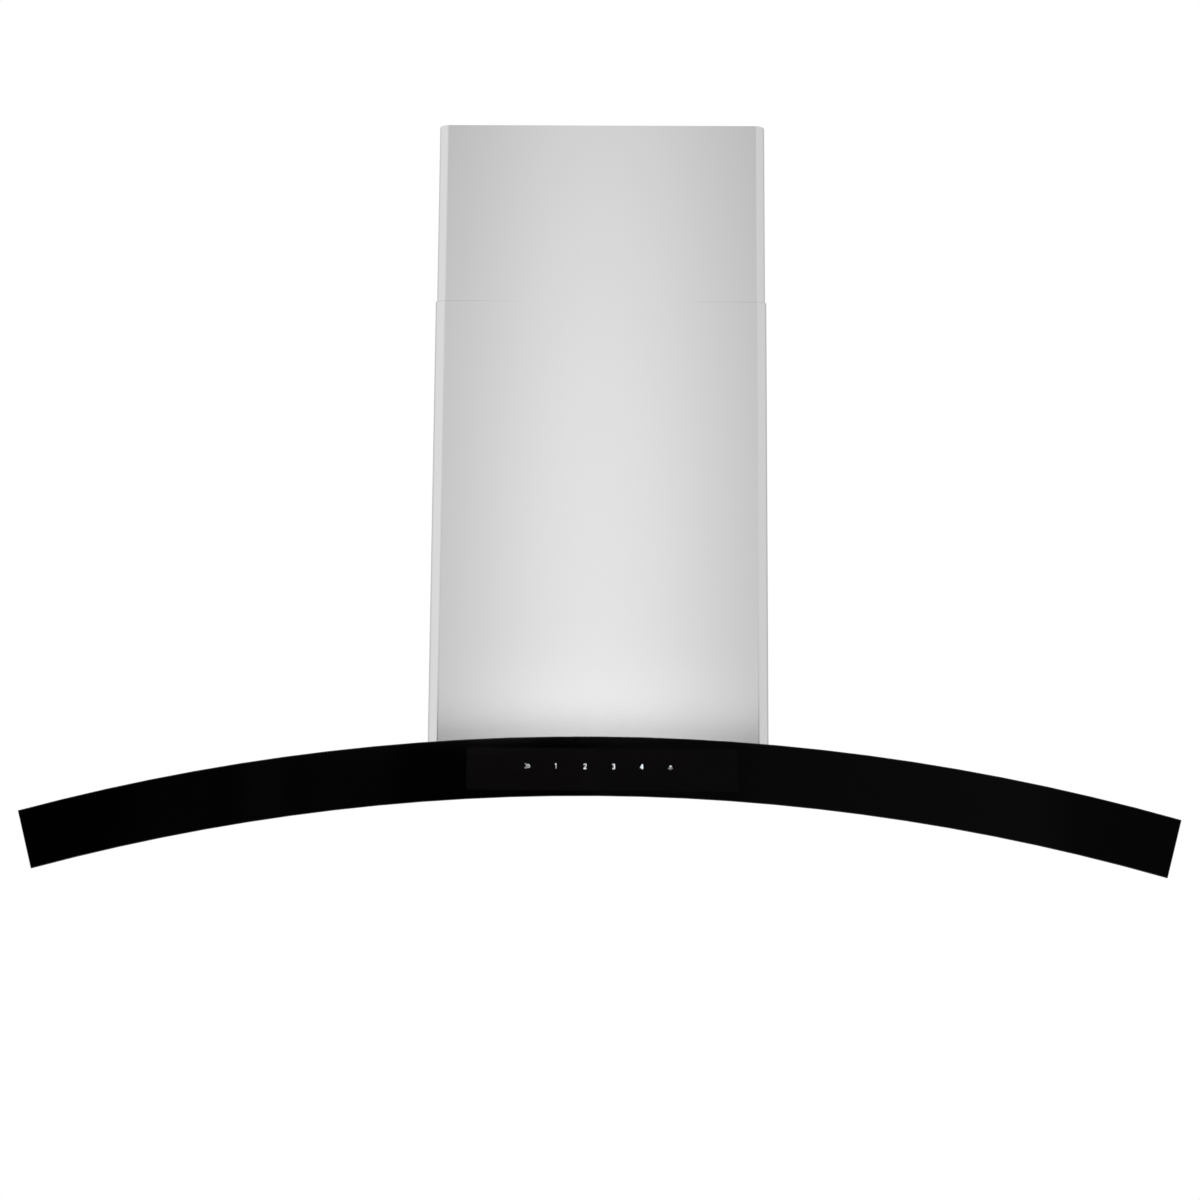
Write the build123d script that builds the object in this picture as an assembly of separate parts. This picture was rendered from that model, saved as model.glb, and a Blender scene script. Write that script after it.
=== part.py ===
from build123d import *
import os
from math import asin, cos, degrees, radians, sin, sqrt

os.makedirs("parts", exist_ok=True)

# The frame: X runs left to right, the front faces -Y, the wall is the plane Y = 0,
# +Z is up, and the origin is the centre of the four wall holes. All sizes are mm.

# Whole hood
hood_width = 900.0  # over the ends of the glass
hood_depth = 500.0  # from the wall to the front face of the glass
arch_radius = 1700.0  # upper edge of the arched glass
arch_drop = 150.0  # from the wall holes' centre down to the top of the arch
sheet = 1.0  # steel sheet of the canopy and the blower box

# Glass
fascia_height = 46.0
glass = 5.0
arris = 0.6  # ground edge of the front pane
tape = 1.0  # bonding tape under both panes
tape_width = 14.0
tape_inset = 4.0  # from the tape to the edge of the steel
pane_gap = 0.3  # between the two panes, and between curved faces that meet
top_glass_wall_gap = 2.0
end_inset = 3.0  # the steel stops this far inside the glass ends

# Underside
pan_recess = 10.0  # the pan lies this far above the lower edge of the fascia
lip = 14.0  # width of the lip that the pan is screwed to
screw = 2.0  # M4 shank radius
screw_clearance = 0.1
screw_head = 3.6
screw_head_height = 2.0
screw_length = 8.0
head_round = 0.8
cross_width = 0.8
cross_depth = 0.6
curve_seat = 0.01  # keeps a flat head just under a curved sheet

# Touch controls
film_left = -102.0
film_right = 108.0
film_top = 11.0  # below the top of the arch
film_bottom = 42.0
film = 0.6
window_inset_x = 9.0  # from the film's ends to the window in the steel behind it
window_top = 13.0
window_bottom = 32.0
board = 1.6
board_fit = 0.1  # round the edge of the board
chip = 8.0
chip_thickness = 1.6
chip_count = 8
housing_depth = 16.0
housing_wall = 2.0

# Lamps
lamp_offset = 225.0
lamp_front_inset = 53.0
lamp_hole = 29.0
lamp_fit = 0.5
bezel_flange = 34.0
bezel_wall = 2.5
bezel_flange_thickness = 2.0
bezel_depth = 10.0
bezel_round = 1.2
lens_thickness = 3.0
lens_top = 1.4  # back of the lens above the pan's lower face
lens_fit = 0.1
lens_round = 1.0
lamp_module_depth = 12.0
slot_count = 12
slot_length = 3.0
slot_width = 2.4
slot_depth = 6.0

# Grease filters, in a local frame on the arch
filter_width = 264.0
filter_length = 325.0
filter_thickness = 10.0
filter_gap = 2.0  # running gap beside and behind a filter
filter_front_gap = 9.0  # room in front of a filter for the latch tongue
filter_rise = 2.0  # a filter's flat underside lies this far inside the pan at mid width
bay_height = 14.0
bay_spacing = 70.0  # between the two bays, so that both filters can hang open
bay_wall_gap = 52.0  # from the wall to the back of the bays
ledge = 8.0
ledge_thickness = 1.0
tab_clearance = 0.3
tab_length = 7.0
tab_thickness = 2.0
tab_width = 30.0
tab_offset = 90.0
frame_side = 12.0
frame_front = 24.0
frame_back = 12.0
frame_bevel = 1.5
baffle_count = 10
baffle_share = 0.62  # channel width over channel pitch
baffle_sheet = 0.8
baffle_flange = 4.0

# Filter latches
latch_half = 15.0
latch_length = 9.0
latch_height = 4.4
latch_travel = 6.0
latch_clearance = 0.3
latch_raise = 0.5  # the latch lies this far above the middle of the frame
tongue_half = 10.0
tongue_height = 3.0
tongue_reach = 7.0
tongue_nose = 1.2  # bevel under the tongue's tip
pull_half = 8.5
pull_length = 5.0
pull_drop = 1.0
pull_room = 0.8
latch_front_wall = 3.5
latch_room = 3.0  # left for the flattened spring
spring_leaf = 0.5
spring_height = 2.6
strike = 0.6
strike_half = 12.0
strike_hook = 5.0

# Chimney covers
chimney_width = 306.0
chimney_depth = 300.0
chimney_sheet = 0.8
chimney_corner = 10.0
chimney_lip = 12.0
chimney_fit = 0.4  # between the sliding covers
seam_height = 403.0  # top of the lower cover above the top of the arch
chimney_top = 571.0  # top of the upper cover above the top of the arch
upper_cover_height = 389.0
cover_screw_below_top = 15.0
bracket_sheet = 2.0
bracket_height = 25.0
bracket_ear = 60.0
bracket_hole_spacing = 140.0
bracket_lip_gap = 0.2
tab_sheet = 1.5
tab_bottom = 10.0
tab_height = 30.0
tab_depth = 30.0

# Blower box and wall plate
box_side_gap = 17.0  # chimney outside to the side of the box
box_front_gap = 14.0
box_height = 262.0  # above the top of the arch
box_flange = 12.0
plate = 2.0
plate_bottom = 20.0
plate_height = 260.0
plate_corner = 8.0
hole_spacing_x = 240.0
hole_spacing_z = 180.0
wall_hole = 4.0
driver_hole = 8.0

# Blower
wheel_radius = 80.0
wheel_length = 140.0
wheel_side_gap = 5.0
blade_count = 36
blade_depth = 14.0
blade_sheet = 0.9
blade_bulge = 3.0
blade_lead = 4.0
wheel_disc = 2.0
wheel_ring = 2.0
hub_radius = 12.0
hub_length = 24.0
hub_gap = 5.0  # from the hub to the motor
shaft_radius = 4.0
shaft_running = 0.05
blower_height = 125.0  # wheel axis above the top of the arch
blower_wall_gap = 125.0  # wheel axis to the wall
scroll_gap = 5.0  # least room between the wheel and the scroll
scroll_step = 10.0
scroll_nose = 8.0
inlet_lap = 4.0  # the inlet is this much smaller than the hollow in the wheel
inlet_ring = 3.0
motor_radius = 42.0
motor_length = 76.0
motor_round = 3.0
motor_start = 16.0
motor_flange = 48.0
bearing_radius = 9.0
bearing_length = 6.0
bearing_seat = 0.02
bracket_arm = 12.0
bracket_lap = 18.0  # how far the arms reach past the inlet
bracket_ring = 51.0
motor_screw = 1.5
motor_screw_head = 2.8
motor_screw_length = 6.0
capacitor_radius = 15.0
capacitor_length = 60.0
capacitor_wall_gap = 61.0

# Duct outlet with its damper
duct_radius = 75.0
duct_height = 45.0
duct_rim = 20.0  # width of the flange round the duct
damper_height = 26.0
rod_radius = 1.5
knuckle_wall = 1.3
flap_gap = 1.5
flap = 1.0
flap_slit = 3.4  # from the rod axis to the plate of a flap
stop_ring = 3.0
knuckle_count = 6
knuckle_gap = 0.4

# Electrical boxes
junction_width = 110.0
junction_depth = 72.0
junction_height = 40.0
junction_wall = 1.5
junction_wall_gap = 12.0
gland_bore = 4.5
gland_barrel = 8.0
gland_hex = 12.0
gland_nut = 6.0
gland_lock = 4.0
gland_tail = 6.0
gland_dome = 10.0
gland_dome_height = 8.0
gland_dome_round = 3.0
terminal_count = 5
terminal_pitch = 12.0
terminal_height = 15.0
terminal_well = 2.5
power_width = 90.0
power_length = 140.0
power_height = 22.0
power_wall = 1.5
transformer_width = 36.0
transformer_height = 15.0
power_angle = 13.0  # on the arch, left of the middle

# Worked out from the sizes above
apex = -arch_drop
centre_z = apex - arch_radius
glass_half = degrees(asin(hood_width / 2 / arch_radius))
body_half = glass_half - degrees(end_inset / arch_radius)
glass_back = -hood_depth + glass
body_front = glass_back + tape
skin_outer = arch_radius - glass - tape
skin_inner = skin_outer - sheet
pan_outer = arch_radius - fascia_height + pan_recess
pan_inner = pan_outer + sheet
box_half = chimney_width / 2 - box_side_gap
box_front = -chimney_depth + box_front_gap
box_back = -plate
box_top = apex + box_height
axis_y = -blower_wall_gap
axis_z = apex + blower_height
wheel_half = wheel_length / 2
hub_end = motor_start - hub_gap
scroll_half = wheel_half + wheel_side_gap
bracket_face = scroll_half + sheet + tab_sheet
inlet_radius = wheel_radius - blade_depth - inlet_lap
bracket_reach = inlet_radius + bracket_lap
arm_screw_radius = (inlet_radius + bracket_reach) / 2 + 1
scroll_start = wheel_radius + scroll_gap + scroll_step / 2  # radius of the scroll's first quarter
flange_screw_radius = (motor_radius + motor_flange) / 2
front_arc = scroll_start + 2 * scroll_step
scroll_front = axis_y - scroll_step / 2 - front_arc
neck_back = axis_y + scroll_step / 2 - scroll_nose
outlet_y = (scroll_front + neck_back) / 2
duct_bore = duct_radius - sheet
rod_z = box_top + damper_height
junction_top = box_top + junction_height
junction_half = junction_width / 2
junction_back = -junction_wall_gap
junction_front = junction_back - junction_depth
bay_inner_half = filter_width / 2 + filter_gap
bay_inner_length = filter_front_gap + filter_length + filter_gap + ledge
bay_outer_half = bay_inner_half + sheet
bay_angle = degrees((bay_outer_half + bay_spacing / 2) / pan_outer)
bay_back = -bay_wall_gap - sheet
bay_front = bay_back - bay_inner_length
filter_front = bay_front + filter_front_gap
filter_back = filter_front + filter_length
ledge_front = bay_back - ledge
ledge_top = filter_rise + ledge_thickness
latch_floor = filter_rise + (filter_thickness - latch_height) / 2 + latch_raise
tongue_bottom = latch_floor + (latch_height - tongue_height) / 2
tongue_top = tongue_bottom + tongue_height
latch_front = filter_front + latch_front_wall + latch_clearance
pull_front = latch_front + (latch_length - pull_length) / 2
lamp_angle = degrees(asin(lamp_offset / pan_outer))
lamp_y = -hood_depth + lamp_front_inset
bezel_barrel = lamp_hole - lamp_fit
lamp_bore = bezel_barrel - bezel_wall
far = 60.0  # how far cutting blocks run past a part
sides = (("left", -1), ("right", 1))


# Shapes that the pieces are made from

def block(x0, x1, y0, y1, z0, z1):
    """A box between six planes, each pair given in either order."""
    middle = Pos((x0 + x1) / 2, (y0 + y1) / 2, (z0 + z1) / 2)
    return middle * Box(abs(x1 - x0), abs(y1 - y0), abs(z1 - z0))


def post(radius, x, y, z0, z1):
    """A round bar along Z."""
    return Pos(x, y, (z0 + z1) / 2) * Cylinder(radius, z1 - z0)


def bar(radius, x0, x1, y, z):
    """A round bar along X."""
    return Pos((x0 + x1) / 2, y, z) * Rot(0, 90, 0) * Cylinder(radius, abs(x1 - x0))


def pin(radius, x, y0, y1, z):
    """A round bar along Y."""
    return Pos(x, (y0 + y1) / 2, z) * Rot(90, 0, 0) * Cylinder(radius, y1 - y0)


def arch_point(radius, angle):
    """A point of the front view, at an angle to the right of the arch's middle."""
    return (radius * sin(radians(angle)), centre_z + radius * cos(radians(angle)))


def stretch(inner, outer, left, right, front, back):
    """A stretch of the arch between two radii and two angles."""
    middle = (left + right) / 2
    outer_ends = arch_point(outer, left), arch_point(outer, middle), arch_point(outer, right)
    inner_ends = arch_point(inner, right), arch_point(inner, middle), arch_point(inner, left)
    outline = [
        ThreePointArc(*outer_ends),
        Line(outer_ends[2], inner_ends[0]),
        ThreePointArc(*inner_ends),
        Line(inner_ends[2], outer_ends[0]),
    ]
    face = Pos(0, front, 0) * (Plane.XZ * make_face(outline))
    return extrude(face, back - front, dir=(0, 1, 0))


def whole_arch(inner, outer, half, front, back):
    """A stretch of the arch that is the same on both sides of the middle."""
    return stretch(inner, outer, -half, half, front, back)


def under_arch(radius):
    """Everything under the arch at this radius, to trim what stands on it."""
    return whole_arch(radius - 2 * far, radius, glass_half + 2, -hood_depth - far, far)


def on_arch(radius, angle, y=0.0):
    """The place at an angle on the arch, with local Z pointing away from its centre."""
    return Pos(0, y, centre_z) * Rot(0, angle, 0) * Pos(0, 0, radius)


def arch_drills(radius, places):
    """Screw holes through the sheets at a radius of the arch."""
    drill = Cylinder(screw + screw_clearance, 2 * screw_length)
    return [on_arch(radius, angle, y) * drill for angle, y in places]


def pan_head_screw(shank, head, length):
    """A screw along +Z with its head under Z = 0."""
    body = Cylinder(shank, length, align=(Align.CENTER, Align.CENTER, Align.MIN))
    cap = Cylinder(head, screw_head_height, align=(Align.CENTER, Align.CENTER, Align.MAX))
    cap = fillet(cap.edges().sort_by(Axis.Z)[0], head_round)
    cross = Box(head, cross_width, cross_depth * 2) + Box(cross_width, head, cross_depth * 2)
    return body + cap - Pos(0, 0, -screw_head_height) * cross


def group(solids):
    """Separate solids of one kind, kept in one node."""
    return Compound(children=[piece for shape in solids for piece in shape.solids()])


# Glass and tape

def front_glass():
    """The arched front pane, with its front edges ground."""
    pane = whole_arch(arch_radius - fascia_height, arch_radius, glass_half, -hood_depth, glass_back)
    return chamfer(pane.faces().sort_by(Axis.Y)[0].edges(), arris)


def front_glass_tape():
    """A wide band of tape on each side of the touch film."""
    beside = degrees((max(-film_left, film_right) + tape_inset) / skin_outer)
    end = body_half - degrees(tape_inset / skin_outer)
    low, high = pan_inner + tape_inset, skin_outer - tape_inset
    bands = [
        stretch(low, high, left, right, glass_back, body_front)
        for left, right in ((-end, -beside), (beside, end))
    ]
    return group(bands)


def top_glass():
    """The bent pane over the canopy, open at the back where the blower box stands."""
    front = glass_back + pane_gap
    pane = whole_arch(arch_radius - glass, arch_radius, glass_half, front, -top_glass_wall_gap)
    half = (box_half + chimney_width / 2) / 2
    notch_front = (box_front - chimney_depth) / 2
    return pane - block(-half, half, notch_front, far, apex - far, apex + far)


def top_glass_tape():
    """Tape strips at the front, at both ends and beside the chimney."""
    low, high = skin_outer, skin_outer + tape
    strip = degrees(tape_width / skin_outer)
    edge = body_half - degrees(tape_inset / skin_outer)
    beside = degrees((chimney_width / 2 + tape_inset) / skin_outer)
    start = body_front + tape_inset
    strips = [whole_arch(low, high, edge, start, start + tape_width)]
    ends = start + tape_width + tape_inset
    for left, right in ((-edge, strip - edge), (edge - strip, edge)):
        strips.append(stretch(low, high, left, right, ends, -tape_width))
    for left, right in ((-beside - strip, -beside), (beside, beside + strip)):
        strips.append(stretch(low, high, left, right, -chimney_depth, -tape_width))
    return group(strips)


# Touch controls behind the front pane

def touch_film():
    return block(film_left, film_right, glass_back, glass_back + film, apex - film_bottom, apex - film_top)


def control_window(grow, front, back):
    """The window behind the film, made larger by a margin."""
    left = film_left + window_inset_x - grow
    right = film_right - window_inset_x + grow
    return block(left, right, front, back, apex - window_bottom - grow, apex - window_top + grow)


def control_board():
    """The touch board, with two rows of small parts on its back."""
    back = body_front + board
    result = control_window(-board_fit, body_front, back)
    middle = apex - (window_top + window_bottom) / 2
    step = (film_right - film_left) / (chip_count + 2)
    for i in range(chip_count):
        x = film_left + (i + 1.5) * step
        half = chip / 2
        low, high = middle - half, middle + half
        result = result + block(x - half, x + half, back, back + chip_thickness, low, high)
    return result


def control_housing():
    """The plastic tray that closes the board in."""
    front = body_front + sheet
    back = front + housing_depth
    outer = control_window(housing_wall - board_fit, front, back)
    return outer - control_window(0, front, back - housing_wall)


# Canopy

def pan_screw_places():
    """Screws along the front, the back and both ends of the pan."""
    near = body_front + lip / 2
    rear = -lip / 2
    end = body_half - degrees(lip / 2 / pan_outer)
    places = [(angle, near) for angle in (-end, -end / 2, end / 2, end)]
    places += [(angle, rear) for angle in (-end, -end / 3, end / 3, end)]
    places += [(-end, (near + rear) / 2), (end, (near + rear) / 2)]
    return places


def box_screw_places():
    """Screws through the bottom flange of the blower box, as angle and distance."""
    x = box_half - sheet - box_flange / 2
    side = degrees(asin(x / skin_outer))
    front = box_front + sheet + box_flange / 2
    back = box_back - sheet - box_flange / 2
    return [(a, y) for a in (-side, side) for y in (front, (front + back) / 2, back)]


def box_opening(grow):
    """The way from the canopy up into the blower box."""
    half = box_half - sheet - box_flange + grow
    front = box_front + sheet + box_flange - grow
    back = box_back - sheet - box_flange + grow
    return block(-half, half, front, back, apex - far, apex + far)


def canopy_body():
    """The folded steel tray, open below, with a lip all round for the pan."""
    body = whole_arch(pan_inner, skin_outer, body_half, body_front, 0)
    wall = degrees(sheet / pan_inner)
    inside = whole_arch(pan_inner + sheet, skin_inner, body_half - wall, body_front + sheet, -sheet)
    margin = degrees(lip / pan_inner)
    mouth = whole_arch(pan_inner - far, pan_inner + 2 * sheet, body_half - margin, body_front + lip, -lip)
    body = body - inside - mouth - box_opening(0)
    body = body - control_window(0, body_front - far, body_front + sheet)
    housing = control_window(housing_wall, body_front + sheet, body_front + sheet + housing_depth)
    body = body - housing
    return body - arch_drills(pan_inner, pan_screw_places()) - arch_drills(skin_outer, box_screw_places())


def bay_place(side):
    """The middle of a filter bay on the pan's lower face."""
    return on_arch(pan_outer, side * bay_angle)


def underside_pan():
    """The curved bottom sheet, with two filter openings and two lamp holes."""
    pan = whole_arch(pan_outer, pan_inner, body_half, body_front, 0)
    for side in (-1, 1):
        opening = block(-bay_inner_half, bay_inner_half, bay_front, bay_back, -far, far)
        pan = pan - bay_place(side) * opening
        pan = pan - on_arch(pan_outer, side * lamp_angle, lamp_y) * Cylinder(lamp_hole, far)
    return pan - arch_drills(pan_inner, pan_screw_places())


def pan_screws():
    one = pan_head_screw(screw, screw_head, screw_length)
    return group(on_arch(pan_outer - curve_seat, a, y) * one for a, y in pan_screw_places())


def box_screws():
    """Screws from below, through the canopy into the flange of the blower box."""
    one = pan_head_screw(screw, screw_head, screw_length)
    return group(on_arch(skin_inner - curve_seat, a, y) * one for a, y in box_screw_places())


# Lamps: a bezel, a lens and a light module on each side

def lamp_place(side):
    return on_arch(pan_outer, side * lamp_angle, lamp_y)


def upright(radius, low, high):
    """A round bar about the local Z axis."""
    return Pos(0, 0, (low + high) / 2) * Cylinder(radius, high - low)


def lamp_bezel():
    seat = -(bezel_flange ** 2) / (2 * pan_outer) - curve_seat
    bottom = seat - bezel_flange_thickness
    ring = upright(bezel_flange, bottom, seat)
    ring = fillet(ring.edges().sort_by(Axis.Z)[0], bezel_round)
    return ring + upright(bezel_barrel, seat - bezel_round, bezel_depth) - upright(lamp_bore, -far, far)


def lamp_lens():
    disc = upright(lamp_bore - lens_fit, lens_top - lens_thickness, lens_top)
    return fillet(disc.edges().sort_by(Axis.Z)[0], lens_round)


def lamp_module():
    """The light module, with cooling slots cut in from its back."""
    radius = lamp_bore - lens_fit
    top = lens_top + lamp_module_depth
    slot = Pos(radius, 0, top) * Box(2 * slot_length, slot_width, 2 * slot_depth)
    slots = [Rot(0, 0, i * 360 / slot_count) * slot for i in range(slot_count)]
    return upright(radius, lens_top, top) - slots


# Filter bays, filters and latches, all in the local frame of one bay

def filter_bay(side):
    """The frame that holds a filter, trimmed to the pan it stands on."""
    outer = block(-bay_outer_half, bay_outer_half, bay_front - sheet, bay_back + sheet, -far, bay_height)
    inner = block(-bay_inner_half, bay_inner_half, bay_front, bay_back, -2 * far, far)
    walls = outer - inner
    shelf = block(-bay_inner_half, bay_inner_half, ledge_front, bay_back, filter_rise, ledge_top)
    return bay_place(side) * walls - under_arch(pan_inner) + bay_place(side) * shelf


def latch_strike():
    """The spring clip on the bay's front wall that hooks under the latch tongue."""
    low = tongue_bottom - latch_clearance - strike
    high = bay_height - sheet
    leaf = block(-strike_half, strike_half, bay_front, bay_front + strike, low, high)
    return leaf + block(-strike_half, strike_half, bay_front, bay_front + strike_hook, low, low + strike)


def latch_pocket():
    """The hollow in the filter's front bar that the latch slides in."""
    room = latch_clearance
    front = filter_front + latch_front_wall
    back = front + room + latch_length + latch_travel + latch_room
    half = latch_half + room
    pocket = block(-half, half, front, back, latch_floor - room, latch_floor + latch_height + room)
    grip_front = pull_front - pull_room
    grip_back = pull_front + pull_length + latch_travel + pull_room
    grip_half = pull_half + pull_room
    grip = block(-grip_half, grip_half, grip_front, grip_back, -far, latch_floor + 1)
    gate_half = tongue_half + room
    low, high = tongue_bottom - room, tongue_top + room
    gate = block(-gate_half, gate_half, filter_front - far, front + 1, low, high)
    return pocket + grip + gate


def filter_frame():
    """The frame of a grease filter, with two tabs that rest on the ledge."""
    half = filter_width / 2
    low, high = filter_rise, filter_rise + filter_thickness
    body = block(-half, half, filter_front, filter_back, low, high)
    body = chamfer(body.edges().filter_by(Axis.Z), frame_bevel)
    front, back = filter_front + frame_front, filter_back - frame_back
    body = body - block(frame_side - half, half - frame_side, front, back, -far, far) - latch_pocket()
    tab_low = ledge_top + tab_clearance
    for x in (-tab_offset, tab_offset):
        left, right = x - tab_width / 2, x + tab_width / 2
        tip = filter_back + tab_length
        body = body + block(left, right, filter_back - 1, tip, tab_low, tab_low + tab_thickness)
    return body


def channel(width, length, rise):
    """A U channel along Y, standing on Z = 0 with its flanges up."""
    outer = Box(width, length, rise, align=(Align.CENTER, Align.MIN, Align.MIN))
    hollow = Box(width - 2 * baffle_sheet, length, rise, align=(Align.CENTER, Align.MIN, Align.MIN))
    return outer - Pos(0, 0, baffle_sheet) * hollow


def filter_baffles():
    """Two rows of channels, the upper row over the gaps of the lower row."""
    half = filter_width / 2 - frame_side
    pitch = 2 * half / baffle_count
    front = filter_front + frame_front
    length = filter_back - frame_back - front
    one = channel(pitch * baffle_share, length, baffle_flange)
    strips = []
    for i in range(baffle_count):
        strips.append(Pos((i + 0.5) * pitch - half, front, filter_rise) * one)
    top = filter_rise + filter_thickness
    for i in range(baffle_count - 1):
        strips.append(Pos((i + 1) * pitch - half, front, top) * Rot(0, 180, 0) * one)
    return group(strips)


def filter_latch():
    """The sliding latch: a body, its tongue and a finger pull."""
    low = latch_floor
    body = block(-latch_half, latch_half, latch_front, latch_front + latch_length, low, low + latch_height)
    tip = filter_front - tongue_reach
    tongue = block(-tongue_half, tongue_half, tip, latch_front + 1, tongue_bottom, tongue_top)
    nose = tongue.edges().filter_by(Axis.X).group_by(Axis.Y)[0].sort_by(Axis.Z)[0]
    tongue = chamfer(nose, tongue_nose)
    pull_back, pull_low = pull_front + pull_length, filter_rise - pull_drop
    return body + tongue + block(-pull_half, pull_half, pull_front, pull_back, pull_low, low + 1)


def latch_spring():
    """A bowed leaf between the latch and the back of its pocket."""
    front = latch_front + latch_length
    back = front + latch_travel + latch_room
    half = latch_half - latch_travel / 2
    foot = half - 2 * spring_leaf
    leaf = make_face([
        ThreePointArc((-half, back), (0, front), (half, back)),
        Line((half, back), (foot, back)),
        ThreePointArc((foot, back), (0, front + spring_leaf), (-foot, back)),
        Line((-foot, back), (-half, back)),
    ])
    low = latch_floor + (latch_height - spring_height) / 2
    return extrude(Pos(0, 0, low) * leaf, spring_height)


# Blower box and wall plate

def wall_hole_places():
    half_x, half_z = hole_spacing_x / 2, hole_spacing_z / 2
    return [(x, z) for x in (-half_x, half_x) for z in (-half_z, half_z)]


def blower_box():
    """The whole galvanised box over the canopy, before it is parted into its sheets."""
    outer = block(-box_half, box_half, box_front, box_back, apex - far, box_top) - under_arch(skin_outer)
    inner = block(
        sheet - box_half, box_half - sheet, box_front + sheet, box_back - sheet, apex - far, box_top - sheet
    )
    box = outer - (inner - under_arch(skin_outer + sheet)) - box_opening(0)
    box = box - post(duct_bore, 0, outlet_y, box_top - far, box_top + far)
    drills = [pin(driver_hole, x, box_back - far, box_back + 1, z) for x, z in wall_hole_places()]
    return box - drills - arch_drills(skin_outer, box_screw_places())


def blower_box_sheets():
    """The box's sheets: its back, its top, the flange that follows the arch, and the folded walls."""
    box = blower_box()
    room = (sheet - box_half, box_half - sheet, box_front + sheet, box_back - sheet)
    back = box & block(-far * 3, far * 3, box_back - sheet, box_back, apex - far, box_top)
    top = box & block(-far * 3, far * 3, box_front, box_back - sheet, box_top - sheet, box_top)
    flange = box & block(*room, apex - far, box_top - sheet)
    return {
        "blower_box_back": back,
        "blower_box_top": top,
        "blower_box_flange": flange,
        "blower_box_walls": box - back - top - flange,
    }


def mounting_plate():
    """The wall plate with its four holes, behind the blower box."""
    low = apex + plate_bottom
    body = block(-box_half, box_half, -plate, 0, low, low + plate_height)
    body = fillet(body.edges().filter_by(Axis.Y), plate_corner)
    return body - [pin(wall_hole, x, -far, far, z) for x, z in wall_hole_places()]


# Blower

def side_view(face):
    """A face drawn as (Y, Z), stood upright in the plane X = 0."""
    return Plane.YZ * face


def scroll_face(grow):
    """The scroll's outline, drawn as quarter arcs whose centres step round a square."""
    s = scroll_step / 2
    r1, r2, r3 = (scroll_start + i * scroll_step + grow for i in range(3))
    c1, c2, c3 = (axis_y + s, axis_z - s), (axis_y - s, axis_z - s), (axis_y - s, axis_z + s)
    nose = scroll_nose - grow
    nose_centre = (c1[0], c1[1] + scroll_start + scroll_nose)
    top = box_top - sheet
    k = sqrt(0.5)
    neck = nose_centre[0] - nose
    front = c3[0] - r3
    return make_face([
        Line((front, top), (neck, top)),
        Line((neck, top), (neck, nose_centre[1])),
        ThreePointArc(
            (neck, nose_centre[1]),
            (nose_centre[0] - k * nose, nose_centre[1] - k * nose),
            (nose_centre[0], nose_centre[1] - nose),
        ),
        ThreePointArc((c1[0], c1[1] + r1), (c1[0] + k * r1, c1[1] + k * r1), (c1[0] + r1, c1[1])),
        ThreePointArc((c2[0] + r2, c2[1]), (c2[0] + k * r2, c2[1] - k * r2), (c2[0], c2[1] - r2)),
        ThreePointArc((c3[0], c3[1] - r3), (c3[0] - k * r3, c3[1] - k * r3), (c3[0] - r3, c3[1])),
        Line((front, c3[1]), (front, top)),
    ])


def along_x(face, start, end):
    """A side-view face, run from one X to another."""
    return extrude(Pos(start, 0, 0) * side_view(face), end - start, dir=(1, 0, 0))


def scroll_wrap():
    outside = along_x(scroll_face(0), -scroll_half, scroll_half)
    return outside - along_x(scroll_face(-sheet), -far * 2, far * 2)


def inlet_screw_places():
    """Where the three arms of the motor bracket are screwed down, as angles."""
    return [90, 210, 330]


def spoke_point(radius, angle):
    return axis_y + radius * cos(radians(angle)), axis_z + radius * sin(radians(angle))


def scroll_side(side):
    """A side plate of the scroll, with the inlet and its ring."""
    inner, outer = side * scroll_half, side * (scroll_half + sheet)
    body = along_x(scroll_face(0), min(inner, outer), max(inner, outer))
    tip = side * (scroll_half - inlet_ring)
    body = body + bar(inlet_radius + sheet, tip, inner, axis_y, axis_z)
    body = body - bar(inlet_radius, -far * 2, far * 2, axis_y, axis_z)
    if side > 0:
        for angle in inlet_screw_places():
            y, z = spoke_point(arm_screw_radius, angle)
            body = body - bar(motor_screw + screw_clearance, 0, far * 2, y, z)
    return body


def blade_face():
    """The section of one forward-curved blade, at the right of the wheel axis."""
    inner, outer = wheel_radius - blade_depth, wheel_radius - blade_sheet / 2
    points = (inner, 0), ((inner + outer) / 2, -blade_bulge), (outer, blade_lead)
    back = [(x, y + blade_sheet) for x, y in points]
    return make_face([
        ThreePointArc(*points),
        Line(points[2], back[2]),
        ThreePointArc(back[2], back[1], back[0]),
        Line(back[0], points[0]),
    ])


def blower_wheel():
    """The double-inlet wheel: a disc with a hub, two rows of blades and two end rings."""
    place = Pos(0, axis_y, axis_z) * Rot(0, 90, 0)
    blade = blade_face()
    step = 360 / blade_count
    turns = [place * Rot(0, 0, i * step) for i in range(blade_count)]
    blades = [extrude(turn * blade, wheel_half, both=True) for turn in turns]
    ring_inner = wheel_radius - blade_depth - blade_sheet / 2
    rings = []
    for side in (-1, 1):
        ring = bar(wheel_radius, side * wheel_half, side * (wheel_half - wheel_ring), axis_y, axis_z)
        rings.append(ring - bar(ring_inner, -far * 2, far * 2, axis_y, axis_z))
    disc = bar(wheel_radius, -wheel_disc / 2, wheel_disc / 2, axis_y, axis_z)
    hub = bar(hub_radius, hub_end - hub_length, hub_end, axis_y, axis_z)
    wheel = disc + (rings + [hub] + blades)
    return wheel - bar(shaft_radius, -far * 2, far * 2, axis_y, axis_z)


def motor_shaft():
    left, right = hub_end - hub_length - shaft_radius / 2, motor_start + motor_length - 1
    return bar(shaft_radius, left, right, axis_y, axis_z)


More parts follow.
